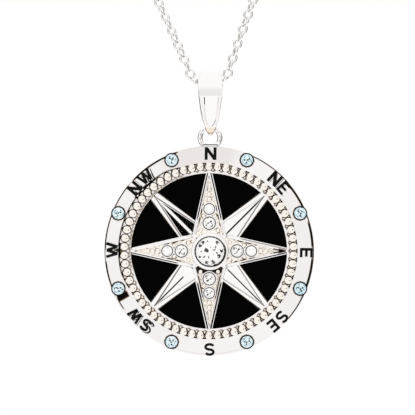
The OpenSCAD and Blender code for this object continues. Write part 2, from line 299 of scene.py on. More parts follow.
# Satin metal: fine rings brushed round the disc's axis, which blur what it mirrors
def satinSilver(name, values):
    material, tree, shader = newMaterial(name)
    place = addNode(tree, "TexCoord", {}, "Object")
    centre = (0, 0, -discHeight * millimetre)
    place = addNode(tree, "Mapping", {"Vector": place, "Location": centre}, "Vector")
    inputs = {"Vector": place, "Scale": values["ringScale"], "Distortion": 1.5}
    rings = addNode(tree, "TexWave", inputs, "Fac", wave_type="RINGS", rings_direction="Y")
    clouds = objectNoise(tree, values["cloudScale"], 5)
    setInputs(tree, shader, {
        "Base Color": mixColour(tree, clouds, values["light"], values["dark"]),
        "Roughness": remapped(tree, clouds, *values["roughness"]), "Metallic": values["metallic"],
        "Normal": bumped(tree, rings, values["bump"])})
    return material


satinBack = satinSilver("satinBack", {
    "light": (0.8, 0.79, 0.785), "dark": (0.68, 0.665, 0.655), "cloudScale": 220, "ringScale": 2200,
    "roughness": (0.3, 0.42), "bump": 0.25, "metallic": 0.75})


# Fired black enamel: near black with a faint cloud, glossy with an uneven surface
def firedEnamel(name, dark, light, roughness, shine):
    material, tree, shader = newMaterial(name)
    clouds = objectNoise(tree, 500, 4)
    setInputs(tree, shader, {
        "Base Color": mixColour(tree, clouds, dark, light), "Roughness": remapped(tree, clouds, *roughness),
        "Normal": bumped(tree, clouds, 0.05), "Specular IOR Level": shine})
    return material


fieldEnamel = firedEnamel("blackEnamel", (0.0004, 0.0004, 0.0005), (0.001, 0.001, 0.0012), (0.04, 0.1), 0.012)
letterEnamel = firedEnamel("letterEnamel", (0.001, 0.001, 0.001), (0.004, 0.0035, 0.003), (0.15, 0.3), 0.1)


# Cut glass with painted sparkle: under a clear glossy skin each face shows its own painted shade, from dark
# to white, in place of the light and dark that a real stone mirrors
def cutStone(name, stops, veil):
    material, tree, shader = newMaterial(name)
    shade = addNode(tree, "Attribute", {}, "Fac", attribute_name="shade")
    paintedFacets = addNode(tree, "ValToRGB", {"Fac": shade}, "Color")
    elements = paintedFacets.node.color_ramp.elements
    for index, (place, colour) in enumerate(stops):
        if 0 < place < 1:
            elements.new(place)
        elements[index].color = (*colour, 1)
    clouds = objectNoise(tree, 1500, 3)
    setInputs(tree, shader, {
        "Base Color": mixColour(tree, remapped(tree, clouds, 0, 0.1), paintedFacets, veil),
        "Roughness": remapped(tree, clouds, 0.02, 0.08), "Specular IOR Level": 0.25, "Coat Weight": 0.12,
        "Coat Roughness": 0.02})
    return material


# Painted shades from the darkest face to the whitest, and the colour of a faint veil over them
clearStone = cutStone("clearStone", [
    (0, (0.012, 0.01, 0.01)), (0.3, (0.2, 0.19, 0.19)), (0.6, (0.76, 0.75, 0.74)), (1, (1, 0.99, 0.97))],
    (0.9, 0.88, 0.9))
blueStone = cutStone("blueStone", [
    (0, (0.003, 0.01, 0.02)), (0.3, (0.04, 0.17, 0.27)), (0.6, (0.38, 0.66, 0.78)), (1, (0.88, 0.98, 1))],
    (0.5, 0.75, 0.83))

print("disc")

# The disc's steps in millimetres: radii from its centre, and heights in front of its middle plane
disc = {
    "radius": 12.7, "rimRadius": 10.93, "channel": (9.95, 10.72), "lipRadius": 9.73,
    "fieldRadius": 9.4, "pitRadius": 0.45, "rimTop": 1.0, "edgeTop": 0.9, "lipTop": 0.9, "channelFloor": 0.45,
    "floor": 0.08, "pitFloor": -0.25, "back": -1.0, "backBorder": 12.15, "backPlate": -0.97, "backCore": -0.8,
    "edgeRound": 0.3, "stepRound": 0.05, "columns": 600, "longestRow": 0.06, "fineAbove": 0.55,
    # round the west the beads stand clear of the rim, and elsewhere it laps over them: bearings with their
    # fade, the two shifts of the rim's edge, and the radii where a shift fades in and out
    "clearSide": (256, 330, 13), "clearance": 0.07, "lap": -0.25,
    "shiftFrom": (10.5, 0.1), "shiftTo": (11.25, -0.3),
    # painted shade and dark reflections: lines near the outer edge, and patches: first and last bearing,
    # inner and outer radius
    "edgeLines": [(26, 49, 12.55, 12.72), (51, 66, 12.38, 12.66), (69, 73, 12.5, 12.66),
                  (75, 86.5, 12.36, 12.6), (88.5, 93.5, 12.6, 12.69), (95.5, 113, 12.36, 12.6),
                  (114, 129.5, 12.49, 12.68), (237, 242, 12.42, 12.58), (250, 263, 12.46, 12.62),
                  (272, 308, 12.5, 12.66), (314, 341, 12.42, 12.66)],
    "patches": [(306, 323, 10.76, 11.16), (240.8, 244, 11.05, 12.5), (266.2, 274.8, 10.7, 11.03),
                (269.4, 271.6, 11, 11.3), (270.3, 270.7, 11.1, 11.75)],
    # painted light and shade: warm reflections on the rim by bearing, the channel's gold reflection, the
    # shade of the open gap, and the lip's dark side
    "casts": [(-25, 12, 0.3), (60, 125, 0.1), (200, 300, 0.06)],
    "channelShade": -1, "gapShade": 0.8, "darkLip": (264, 336, 10), "darkLipFade": 0.8,
    "lipInside": 9.48, "lipDashes": 9.57, "lipLine": 9.62,
}
rimStone = {
    "diameter": 1.5, "distance": 11.9, "bearings": 22.5 + 45 * np.arange(8), "girdle": 1.12,
    # levels: how light each stone's painted faces are
    "bezelWidth": 0.12, "bezelTop": 1.2, "levels": (0.9, 0.94, 0.82, 0.94, 1.0, 1.0, 1.04, 0.98),
    # the cone in the rim under a stone: its middle's height and its slope; and how far its painted shadow
    # reaches
    "seatLow": 0.36, "seatSlope": 0.924, "shadow": 0.91,
}


# The turned body: rim, bead channel, lip and enamel field, with a cone pressed in under each blue stone
def discBody():
    d = disc
    step, bed = d["stepRound"], d["channelFloor"]
    # Each corner: radius, height, and painted light and shade
    corners = np.array([
        [0, d["backCore"], 0], [d["backBorder"], d["backCore"], 0], [d["backBorder"] + 0.05, d["back"], 0],
        [d["radius"], d["back"], 0], [d["radius"], d["edgeTop"], 0], [d["rimRadius"], d["rimTop"], 0],
        [d["rimRadius"] - 0.05, bed + 0.2, 0], [d["rimRadius"] - 0.1, bed, 0.1],
        [d["channel"][1], bed, d["channelShade"]], [d["channel"][0], bed, d["channelShade"]],
        [d["lipRadius"], bed, 0.1], [d["lipRadius"], d["lipTop"], 0.09],
        [d["fieldRadius"], d["lipTop"], 0.12], [d["fieldRadius"], d["floor"], 0.3],
        [d["pitRadius"], d["floor"], 1], [d["pitRadius"], d["pitFloor"], 1], [0, d["pitFloor"], 1]])
    profile = rounded(corners, [0, step, step, d["edgeRound"], d["edgeRound"]] + [step] * 11 + [0], 5, False)
    fine = np.minimum(profile[:-1, 1], profile[1:, 1]) > d["fineAbove"]
    points, quads, fans = revolved(subdivided(profile, np.where(fine, d["longestRow"], np.inf)), d["columns"])
    forward, paintedLight = points[:, 2], points[:, 3]
    bearing, reach = polar(points)
    clear, west = within(bearing, *d["clearSide"]), within(bearing, *d["darkLip"])
    shift = d["lap"] + (d["clearance"] - d["lap"]) * clear
    rimEdge = d["rimRadius"] + shift
    shift = shift * ramp(reach, *d["shiftFrom"]) * ramp(reach, *d["shiftTo"]) * (forward > 0)
    points[:, :2] *= (1 + shift / np.maximum(reach, 1))[:, None]
    reach = reach + shift
    paintedLight[:] = np.where(paintedLight < 0, paintedLight * (1 - d["darkLipFade"] * west), paintedLight)

    # The rim: cones under the stones; painted dark lines, gap shade, shadows and patches, and elsewhere a
    # painted warm reflection
    centres = np.radians(rimStone["bearings"])
    gap = np.hypot(points[:, :1] - rimStone["distance"] * np.sin(centres),
                   points[:, 1:2] - rimStone["distance"] * np.cos(centres)).min(1)
    onRim = (forward > 0.7) & (reach > rimEdge)
    forward[onRim] = np.minimum(forward, rimStone["seatLow"] + rimStone["seatSlope"] * gap)[onRim]
    cast = sum(share * within(bearing, first, last, 8) for first, last, share in d["casts"])
    edge = np.max([within(bearing, first, last, 2) * window(reach, low, high, 0.03)
                   for first, last, low, high in d["edgeLines"]], 0) * (forward > 0.6)
    patch = sum(within(bearing, first, last, 0.7) * window(reach, low, high, 0.06)
                for first, last, low, high in d["patches"])
    openGap = d["gapShade"] * clear
    tone = np.max([edge, openGap * ramp(reach, rimEdge + 0.04, -0.02), ramp(gap, rimStone["shadow"], -0.05),
                   patch], 0)
    paintedLight[onRim] = np.where(tone > 0.02, np.minimum(tone, 1), -cast)[onRim]
    nearEdge = reach < rimEdge + 0.01
    wall = nearEdge & (reach > rimEdge - 0.07) & (forward > 0.6) & (clear > 0)
    paintedLight[wall] = np.maximum(paintedLight, openGap)[wall]
    beside = nearEdge & (reach > d["rimRadius"] - 0.28) & (forward > 0.3) & (patch > 0.02)
    paintedLight[beside] = np.maximum(paintedLight, np.minimum(patch, 1))[beside]

    # The lip: dark specks, a dash of painted shade beside each gap between beads, and round the west a broken
    # line of painted shade
    lip = (reach > d["fieldRadius"] - 0.02) & (reach < d["lipRadius"] + 0.01) & (forward > 0.75)
    turn = np.radians(bearing)
    speckle = np.sin(157 * turn + 3 * np.sin(29 * turn)) * np.sin(61 * reach + 5 * np.sin(43 * turn))
    dashes = np.clip(-np.cos(beads["count"] * turn) - 0.1, 0, 1) * ramp(reach, d["lipDashes"], 0.05)
    dashesAndSpecks = np.clip(0.9 * dashes * (1 - d["darkLipFade"] * west) + 0.3 * (speckle - 0.35), 0, 0.8)
    line = ramp(np.abs(reach - d["lipLine"]), 0.056, -0.04) * np.clip(0.7 + 0.6 * np.sin(31 * turn), 0, 1)
    dark = west * np.where(reach < d["lipInside"], 1, np.maximum(line, 0.9 * (speckle > 0.45)))
    paintedLight[lip] = np.maximum(dashesAndSpecks, dark)[lip]
    return points, quads, fans


# The satin plate on the back, its edge rounded into the border round it
def backPlate():
    edge, top = disc["backBorder"] - 0.02, disc["backPlate"]
    corners = [[0, -0.5, 0], [edge, -0.5, 0], [edge, top, 0], [0, top, 0]]
    return revolved(subdivided(rounded(corners, [0, 0.02, 0.06, 0], 5, False), 0.8), 180)


beads = {
    "count": 62, "distance": 10.26, "west": 0.05, "foot": 0.4, "shoulder": 0.84, "top": 1.06, "flat": 0.72,
    # darkSide: the bearings, with their fade, where the beads' painted shade is darker
    "across": 0.535, "along": 0.6, "columns": 28, "darkSide": (15, 235, 30),
}


# Domed buttons side by side on a circle: a shallow cap, a rounded shoulder with painted shade, darkest
# towards the neighbours, and a straight side
def beadRing():
    b = beads
    cap = np.linspace(0, b["flat"], 8)
    drop = (b["top"] - b["shoulder"]) * 0.62
    points, quads, fans = revolved(np.concatenate([
        stacked(cap, b["top"] - drop * (cap / b["flat"]) ** 2, 0),
        [[0.8, b["shoulder"] + 0.06, 0.05], [0.87, b["shoulder"], 0.7], [1.0, b["shoulder"] - 0.16, 1],
         [1.0, b["foot"], 1], [0, b["foot"], 1]]]), b["columns"])
    aside = 2.6 * np.abs(points[:, 0]) / np.maximum(np.hypot(points[:, 0], points[:, 1]), 0.1)
    shells = []
    for bearing in np.arange(b["count"]) * 360 / b["count"]:
        bead = points * [b["across"], b["along"], 1, 1]
        bead[:, 3] *= np.clip(aside - 1.25 + 0.35 * within(bearing, *b["darkSide"]), 0.04, 1)
        shells.append(atBearing((bead, quads, fans), bearing, b["distance"]))
    return shifted(joined(shells), -b["west"], 0)


putOnDisc("disc_body", discBody(), rimSilver, even=True)
putOnDisc("back_plate", backPlate(), satinBack, even=True)
putOnDisc("bead_ring", beadRing(), beadSilver)

print("star")

# Widths are half-widths at the root and at the lip, along an arm
arms = {
    "root": 3.75, "end": 9.6, "rows": 60, "cardinal": (1.66, 0.385), "between": (1.4, 0.55), "ledge": 0.05,
    "join": 2.03, "borderTop": 1.2, "stepTop": 0.79, "grooveFloor": 0.5, "pocketFloor": 0.88,
    "hollowFloor": 0.55, "grooveFrom": 3.7, "grooveIn": 0.14, "pocketIn": 0.44, "tip": (8.3, 9.3),
    "ridgeRoot": 2.6, "ridgeTip": 9.35, "ridgeHalf": 1.422, "ridgeRise": 0.603, "faceFoot": 0.62,
    # each cardinal arm: its hollow's start, its tip's painted shade, and for its two grooves how deep and
    # darkly painted and how wide they are
    "edges": [(9.0, 0, (1, 0.1), (1, 0.1)), (7.85, 1, (0.35, 0.08), (1, 0.1)), (9.0, 0, (1, 0.14), (1, 0.14)),
              (9.2, 0, (1, 0.09), (0, 0.08))],
    # rings of painted shade on the pocket floors: distance, how far to each side, radius and darkness
    "rings": [(2.5, 1.05, 0.28, 0.9), (4.24, 0.67, 0.29, 1), (6.22, 0, 0.36, 0.55), (6.85, 0, 0.34, 0.25)],
    # painted shadow on each pocket
    "shadows": (0, 0, 1, 0),  # how dark each pocket lies
    # each ridge: half its width, the darkness and start of its painted dark line, and the darkness of the
    # painted line on each side
    "crests": [(0.12, 1, 2.9, 0.12, 0.6), (0.09, 1, 3, 0.45, 0.3), (0.1, 1, 4.3, 0.35, 0.85),
               (0.22, 0, 3, 0.6, 0.7)],
}


# An arm narrows evenly from its root to the lip
def halfWidth(widths, along):
    return widths[0] + (widths[1] - widths[0]) * (along - arms["root"]) / (disc["fieldRadius"] - arms["root"])


# A section given as two halves, the left one turned over, is joined into a closed loop, rounded, and set
# along the arm. It stands on a ledge painted black, level with the enamel
def armShell(along, half, rightCorners, leftCorners, radii):
    ledge = half + arms["ledge"]
    low = [(ledge, -0.02, 0), (ledge, 0.505, 1), (half, 0.51, 1)]
    right, left = (np.stack([stacked(*corner) for corner in low + corners], 1)
                   for corners in (rightCorners, leftCorners))
    radii = [0.01] * 3 + radii
    section = rounded(np.concatenate([right, left[:, ::-1] * [-1, 1, 1]], 1), radii + radii[::-1])
    return closedRings(stacked(section[..., 0], along[:, None], section[..., 1], section[..., 2]))


# A low step, a groove with painted shade, a raised edge and a sunk pocket with painted shade, narrowing to
# the tip. Where neighbours meet near the centre the outline turns along the diagonal and the edge sinks into
# the floor
def cardinalArm(hollowFrom, tipShade, leftGroove, rightGroove):
    a = arms
    plate = a["pocketFloor"]
    along = np.concatenate([np.linspace(1.6, 2.0, 5), np.linspace(2.05, a["end"], a["rows"])])
    half = np.minimum(halfWidth(a["cardinal"], along), along + 0.02)
    rise, pocket = ramp(along, a["join"], 0.06), ramp(half, a["pocketIn"], 0.1)
    deep = plate - (plate - a["hollowFloor"]) * ramp(along, hollowFrom, 0.1)
    edge = plate + (a["borderTop"] - plate) * rise
    floor = edge - (edge - deep) * pocket
    step = plate + (a["stepTop"] - plate) * rise
    tip = tipShade * ramp(along, a["tip"][0], 0.15) * ramp(along, a["tip"][1], -0.1)
    shade = np.maximum(np.where(along > hollowFrom - 0.05, 1, 0.2) * pocket, tip)

    def side(strength, width):
        dark = strength * ramp(along, a["grooveFrom"], 0.5)
        groove = step - (step - a["grooveFloor"]) * dark
        start, pocketEdge = half - a["grooveIn"], half - a["pocketIn"]
        return [(half, step, 0), (start + 0.01, step + 0.01, 0), (start, groove, dark),
                (start - width, groove, dark), (start - width - 0.005, edge - 0.015, 0),
                (np.maximum(pocketEdge + 0.02, 0.02), edge, tip),
                (np.maximum(pocketEdge, 0.01), floor, shade)]

    radii = [0.04, 0.04, 0.02, 0.02, 0.05, 0.05, 0.03]
    return armShell(along, half, side(*rightGroove), side(*leftGroove), radii)


# A flat edge, a fine wall with painted shade and two faces that rise to a ridge with a painted dark line, all
# narrowing to the tip and ending under the arms beside them. The reach is how far a line square to the
# diagonal runs to such an arm
def betweenArm(crestHalf, ridgeShade, lineFrom, leftShade, rightShade):
    a = arms
    along = np.concatenate([np.linspace(2.97, 3.9, 16), np.linspace(3.95, a["end"], a["rows"])])
    narrowing = (a["cardinal"][0] - a["cardinal"][1]) / (disc["fieldRadius"] - a["root"])
    base = a["cardinal"][0] + narrowing * a["root"]
    reach = ((1 + narrowing) * along - base * math.sqrt(2)) / (1 - narrowing)
    half = np.minimum(halfWidth(a["between"], along), reach + 0.12)
    share = ramp(along, a["ridgeTip"], a["ridgeRoot"] - a["ridgeTip"])
    face = np.clip(a["ridgeHalf"] * share, 0.02, half - 0.09)
    slope = a["ridgeRise"] / a["ridgeHalf"]
    top = a["faceFoot"] + a["ridgeRise"] * share
    foot = top - slope * face
    crest, near = np.minimum(crestHalf, 0.4 * face), face - np.minimum(0.04, 0.2 * face)
    line = ridgeShade * ramp(along, lineFrom, 0.3)
    right, left = ([
        (half, 0.88, 0), (face + 0.06, 0.9, 0), (face + 0.02, foot - 0.06, wall), (face, foot, 0.1),
        (near, top - slope * near, 0), (crest, top - slope * crest, 0),
        (0.55 * crest, top - 0.55 * slope * crest, line)] for wall in (rightShade, leftShade))
    return armShell(along, half, right, left, [0.04, 0.03, 0.02, 0.01, 0.005, 0.01, 0.06])


# The pocket's floor: a plate of fine waves, the product of slow and quick ripples, with painted shade in its
# troughs, a broken ring of painted shade round each grain and stone, broken painted dark lines along its
# sides, and painted shadow on a shaded pocket
def pocketPlate(hollowFrom, shadow, phase):
    a = arms
    along = np.linspace(1.7, hollowFrom - 0.03, 120)[:, None]
    half = np.minimum(halfWidth(a["cardinal"], along), along + 0.02) - a["pocketIn"] + 0.01
    across = half * np.linspace(-1, 1, 39)
    slow, quick = 9.1 * along + 2 * np.sin(5.3 * across), 11.7 * across + 1.3 * np.sin(4.1 * along)
    ripple = np.sin(slow) * np.cos(quick)
    top = a["pocketFloor"] + 0.03 + 0.018 * ripple
    shade = np.clip(-0.75 * ripple - 0.28, 0, 0.5) + shadow * ramp(along, 2.72, -0.1)
    for distance, side, radius, strength in a["rings"]:
        gap = np.abs(np.hypot(along - distance, np.abs(across) - side) - radius)
        turn = np.arctan2(along - distance, across - side)
        broken = np.clip(0.2 + np.sin(2 * turn + 9 * distance + phase), 0, 1)
        shade = np.maximum(shade, strength * broken * ramp(gap, 0.064, -0.04))
    beside = ramp(np.abs(across), half - 0.16, 0.05) * ramp(along, 2.9, 0.2) * ramp(along, 5.9, -0.4)
    broken = np.clip(0.75 + 0.7 * shadow + 0.7 * np.sin(6 * along + 2 * np.sign(across)), 0, 1)
    shade = np.maximum(shade + 0.15 * shadow * (along < 6), beside * broken)
    return closedRings(np.concatenate([stacked(across, along, top, shade),
                                       stacked(across[:, ::-1], along, 0.7, 0)], 1))


# One arm or floor on each quarter, from its own values
def fourAround(shape, values, first=0):
    return joined([atBearing(shape(*value), first + quarter) for value, quarter in zip(values, quarters)])


pockets = [(arms["edges"][k][0], arms["shadows"][k], 2.3 * k) for k in range(4)]
putOnDisc("cardinal_arms", fourAround(cardinalArm, arms["edges"]), silver, even=True)
putOnDisc("between_arms", fourAround(betweenArm, arms["crests"], 45), silver, even=True)
putOnDisc("pocket_floors", fourAround(pocketPlate, pockets), beadSilver)

print("settings")

centreSetting = {
    "stone": 3.5, "radius": 2.25, "mouth": 1.9, "base": -0.2, "top": 1.7, "girdle": 1.5,
    "aside": 0.1, "above": -0.05,
    # the slope inside the mouth, its side with darker painted shade, and a painted dark crescent on the
    # mouth:
    # bearings and fade
    "slopeFrom": 1.7, "darkSide": (60, 285, 50), "crescent": (85, 140, 40),
}
armSettings = {"girdle": 1.28, "collar": 0.15, "inner": (3.36, 1.5), "outer": (5.08, 1.3)}
grains = {
    # distance, how far to each side, diameter and how dark the painted shade underneath is
    "places": [(2.5, 1.05, 0.5, 1), (4.24, 0.67, 0.48, 1), (6.22, 0, 0.6, 0.4), (6.85, 0, 0.56, 0.2)],
    "stand": 0.4, "foot": 0.9, "base": 0.45, "columns": 16,
}
tongue = {"from": 7.15, "to": 8.5, "radii": (0.36, 0.08), "height": 0.88, "nose": 0.08}


# A cup round a stone: straight wall, rounded top, a slope with painted dark shade in to the girdle, and a
# cone under the stone
def settingCup(stone, radius, mouth, base, top, girdle, columns, topRound, wallShade):
    seat = stone / 2 + 0.02
    culet = girdle - 0.46 * stone - 0.02
    corners = [[0, base, 0], [radius, base, wallShade], [radius, top - 0.02, 0], [mouth + 0.1, top, 0],
               [mouth, top, 0], [(mouth + 2 * seat) / 3, (top + girdle) / 2, 1], [seat, girdle - 0.04, 1],
               [0.05, culet, 0], [0, culet, 0]]
    return revolved(rounded(corners, [0, 0.02, topRound, 0.01, 0.04, 0.03, 0.02, 0.01, 0], 5, False), columns)


# The centre cup, its inner slope's painted shade darker on one side, and a painted dark crescent on its mouth
def centreCup():
    c = centreSetting
    shape = [c[key] for key in ("stone", "radius", "mouth", "base", "top", "girdle")]
    points, quads, fans = settingCup(*shape, 96, 0.12, 0.3)
    bearing, reach = polar(points)
    slope = (reach > c["slopeFrom"]) & (reach < c["mouth"] + 0.02)
    points[slope, 3] *= (0.5 + 0.5 * within(bearing, *c["darkSide"]))[slope]
    mouth = np.abs(reach - c["mouth"]) < 0.06
    points[mouth, 3] = np.maximum(points[:, 3], 0.8 * within(bearing, *c["crescent"]))[mouth]
    return shifted((points, quads, fans), c["aside"], c["above"])


# Two cups on each arm, one further out than the other
def armCups():
    girdle, collar = armSettings["girdle"], armSettings["collar"]
    cups = [shifted(settingCup(stone, stone / 2 + collar, stone / 2 + collar / 2, 0.4, girdle + 0.02, girdle,
                               40, 0.05, 0.15), 0, distance)
            for distance, stone in (armSettings["inner"], armSettings["outer"])]
    return allRound(joined(cups), quarters)


# Small balls on short stems, with painted shade underneath, and a blunt cone lying along each arm
def armGrains():
    g, t = grains, tongue
    shells = []
    for distance, across, size, dark in g["places"]:
        height, stem = g["foot"] + size * g["stand"], size * 0.4
        corners = [[0, height + size / 2, 0], [size / 2, height + size / 2, 0],
                   [size / 2, height - size * 0.1, 0.2 * dark], [stem, g["base"], dark], [0, g["base"], 1]]
        grain = revolved(rounded(corners, np.array([0, size / 2, 0.05, 0.02, 0]), 8, False), g["columns"])
        shells += [shifted(grain, side * across, distance) for side in ((-1, 1) if across else (1,))]
    along = np.linspace(0, 1, 24)[:, None]
    radius = t["radii"][0] + (t["radii"][1] - t["radii"][0]) * along
    radius = radius * np.sqrt(np.clip(1 - ramp(along, t["nose"], -t["nose"]) ** 2, 0.02, 1))
    turn = np.linspace(0, 2 * np.pi, 24, endpoint=False)
    shells.append(closedRings(stacked(radius * np.cos(turn), t["from"] + (t["to"] - t["from"]) * along,
                                      t["height"] + radius * np.sin(turn), 0)))
    return allRound(joined(shells), quarters)


# A collar round each blue stone, with painted dark shade on its top and inner side
def rimBezels():
    r = rimStone
    inner, outer, top = r["diameter"] / 2 + 0.02, r["diameter"] / 2 + r["bezelWidth"], r["bezelTop"]
    corners = [[outer - 0.1, 0.66, 0], [outer, 0.8, 0], [outer, top - 0.04, 0.1], [outer - 0.01, top, 1],
               [inner, top, 1], [inner, r["girdle"] - 0.06, 1], [0.6, 0.88, 1], [0.6, 0.66, 1]]
    ring = revolvedRing(rounded(corners, [0.02, 0.05, 0.01, 0.01, 0.03, 0.02, 0.02, 0.02]), 40)
    return allRound(ring, r["bearings"], r["distance"])


putOnDisc("centre_setting", centreCup(), silver, even=True)
putOnDisc("arm_settings", armCups(), silver, even=True)
putOnDisc("arm_grains", armGrains(), beadSilver)
putOnDisc("rim_bezels", rimBezels(), silver, even=True)

solderedRing = {
    "across": 0.09, "centreUp": 13.75, "bend": 1.2, "wire": 0.32, "squareness": 0.7,
    "columns": 96, "sides": 64,
    # painted dark lines along the wire: radius, first and last bearing, darkness
    "lines": [(1.22, 238, 322, 0.9), (0.97, 240, 300, 0.5), (1.22, 35, 122, 0.75), (0.95, 50, 120, 0.7)],
    "seatHalf": 0.92, "seatTop": -0.83, "seatDepth": 0.345, "seatHeight": 0.45,
}


# A ring of wire with broken painted dark lines along its front, and the bar of solder that it stands on, with
# a painted dark line along its front edge
def hangingRing():
    r = solderedRing
    points, quads, fans = torus(r["bend"], r["wire"], r["columns"], r["sides"], r["squareness"])
    bearing, reach = polar(points)
    broken = np.clip(0.75 + 0.5 * np.sin(np.radians(14 * bearing)), 0.2, 1) * (points[:, 2] > 0)
    for radius, first, last, strength in r["lines"]:
        line = within(bearing, first, last, 8) * ramp(np.abs(reach - radius), 0.0455, -0.035)
        points[:, 3] = np.maximum(points[:, 3], strength * broken * line)
    top, depth, low = r["seatTop"], r["seatDepth"], r["seatTop"] - r["seatHeight"]
    section = rounded([[low, -depth, 0], [top, -depth, 0], [top, depth - 0.05, 0.3], [top, depth, 0.95],
                       [top - 0.1, depth, 0.95], [top - 0.12, depth, 0], [low, depth, 0]], [0.01] * 7, 3)
    along = np.linspace(-r["seatHalf"], r["seatHalf"], 13)[:, None]
    bar = closedRings(stacked(along, section[:, 0], section[:, 1], section[:, 2]))
    return shifted(joined([(points, quads, fans), bar]), r["across"], r["centreUp"])


putOnDisc("soldered_ring", hangingRing(), silver)

print("stones")

gems = {
    # each ring's radius and height as shares of a stone's half-width
    "radii": (0.1, 0.25, 0.41, 0.56, 0.69, 0.81, 0.9, 0.965, 1.0, 1.0, 0.3, 0.04),
    "heights": (0.35, 0.35, 0.35, 0.35, 0.26, 0.17, 0.1, 0.055, 0.03, -0.03, -0.6, -0.86), "culet": -0.88,
    # sides, how far the painted shades stray, share of faces painted dark, and where the painted dark edge
    # starts
    "centre": (26, 0.07, 0.015, 0.98), "spotted": (18, 0.12, 0.03, 0.92), "bright": (18, 0.12, 0.01, 0.92),
    "blue": (16, 0.22, 0.05, 0.94), "seed": 7,
    # painted dark spots: across, up, how far they reach, and their shade
    "centreSpots": [(-0.25, 0.08, 0.15, 0), (0.2, -0.18, 0.07, 0.2), (-0.09, -0.41, 0.07, 0.2),
                    (0.34, -0.83, 0.08, 0.1), (-0.4, -0.35, 0.07, 0.2), (0.28, 0.12, 0.06, 0.3)],
    "armSpots": [(0.28, 0.3, 0.14, 0), (0.08, 0.16, 0.1, 0.05), (-0.2, -0.04, 0.14, 0),
                 (-0.42, -0.32, 0.12, 0.05), (0.42, -0.12, 0.11, 0), (0.5, -0.42, 0.12, 0),
                 (0.22, -0.5, 0.09, 0.1)],
    "spottedArms": (0, 2, 4, 5, 6),
}


# A round brilliant: flat table, rings of three-sided faces, each turned half a face from the last, and a
# pointed pavilion. A face's painted shade is drawn at random round a level, and the faces in a spot and
# round the girdle are painted dark
def cutGem(cut, diameter, level, spots, draw):
    sides, spread, darkShare, edgeFrom = cut
    radii, heights = np.array(gems["radii"])[:, None], np.array(gems["heights"])[:, None]
    rows = len(radii)
    turn = (np.arange(sides) + 0.5 * (np.arange(rows) % 2)[:, None]) * 2 * np.pi / sides
    points = np.concatenate([stacked(radii * np.cos(turn), radii * np.sin(turn), heights, 0).reshape(-1, 4),
                             [[0, 0, heights[0, 0], 0], [0, 0, gems["culet"], 0]]])
    points[:, :3] *= diameter / 2
    row, column = np.meshgrid(np.arange(rows - 1), np.arange(sides), indexing="ij")
    after = (column + 1) % sides
    odd = (row % 2 == 1)[..., None]
    a, b = row * sides + column, row * sides + after
    c, d = a + sides, b + sides
    first = np.where(odd, stacked(a, c, d), stacked(a, c, b))
    second = np.where(odd, stacked(a, d, b), stacked(b, c, d))
    here, after, last = column[0], after[0], (rows - 1) * sides
    table = stacked(rows * sides, here, after)
    point = stacked(rows * sides + 1, last + after, last + here)
    faces = np.concatenate([first.reshape(-1, 3), second.reshape(-1, 3), table, point])
    across, up = (points[faces].mean(1)[:, :2] / (diameter / 2)).T
    shade = np.clip(level + spread * draw.standard_normal(len(faces)), 0.35, 1)
    shade[draw.random(len(faces)) < darkShare] = 0.1
    for x, y, reach, value in spots:
        shade[np.hypot(across - x, up - y) < reach] = value
    shade[np.hypot(across, up) > edgeFrom] = 0.02
    return (points, np.empty((0, 4), int), faces), shade


# A ring of painted dark spots, as shares of the stone's half-width
def spotRing(distance, bearings, reach, value):
    return [(distance * math.sin(math.radians(b)), distance * math.cos(math.radians(b)), reach, value)
            for b in bearings]


# A stone in its setting: lifted to its girdle, moved out by a distance and round by a bearing
def putGem(name, material, gem, girdle, bearing, distance, aside=0):
    shell, shade = gem
    shell = facing(atBearing(shifted(shell, aside, 0, girdle), bearing, distance), discHeight)
    putPiece(name, shell, "pendant", material, [name.replace("gem", "stone")], faceShade=shade)


# The centre stone, two on each arm counted from the centre, and eight round the rim, from one row of draws
def putStones():
    draw = np.random.default_rng(gems["seed"])
    c, r = centreSetting, rimStone
    spots = [*spotRing(0.8, (40, 88, 161, 199, 243, 301, 322), 0.11, 0), *spotRing(0.7, (117, 167), 0.1, 0),
             *spotRing(0.48, (50, 100), 0.07, 0.2), *gems["centreSpots"]]
    gem = cutGem(gems["centre"], c["stone"], 0.98, spots, draw)
    putGem("centre_gem", clearStone, gem, c["girdle"], 0, c["above"], c["aside"])
    for number in range(8):
        distance, diameter = armSettings["outer" if number % 2 else "inner"]
        spotted, turned = number in gems["spottedArms"], (-1) ** (number // 2)
        spots = [(x * turned, y, reach, value) for x, y, reach, value in gems["armSpots"]] if spotted else []
        gem = cutGem(gems["spotted" if spotted else "bright"], diameter, 0.95, spots, draw)
        putGem(f"arm_gem_{number + 1}", clearStone, gem, armSettings["girdle"],
               quarters[number // 2], distance)
    for number, level in enumerate(r["levels"]):
        spots = [*spotRing(0.4, 40 + 75 * number + np.array([0, 130, 215]), 0.14, 0),
                 *spotRing(0.62, 75 * number + np.array([15, 80, 190, 300]), 0.1, 0.05),
                 (0.05, 0.02, 0.15, 0)]
        gem = cutGem(gems["blue"], r["diameter"], level, spots, draw)
        putGem(f"rim_gem_{number + 1}", blueStone, gem, r["girdle"], r["bearings"][number],
               r["distance"])


putStones()

print("compass points")

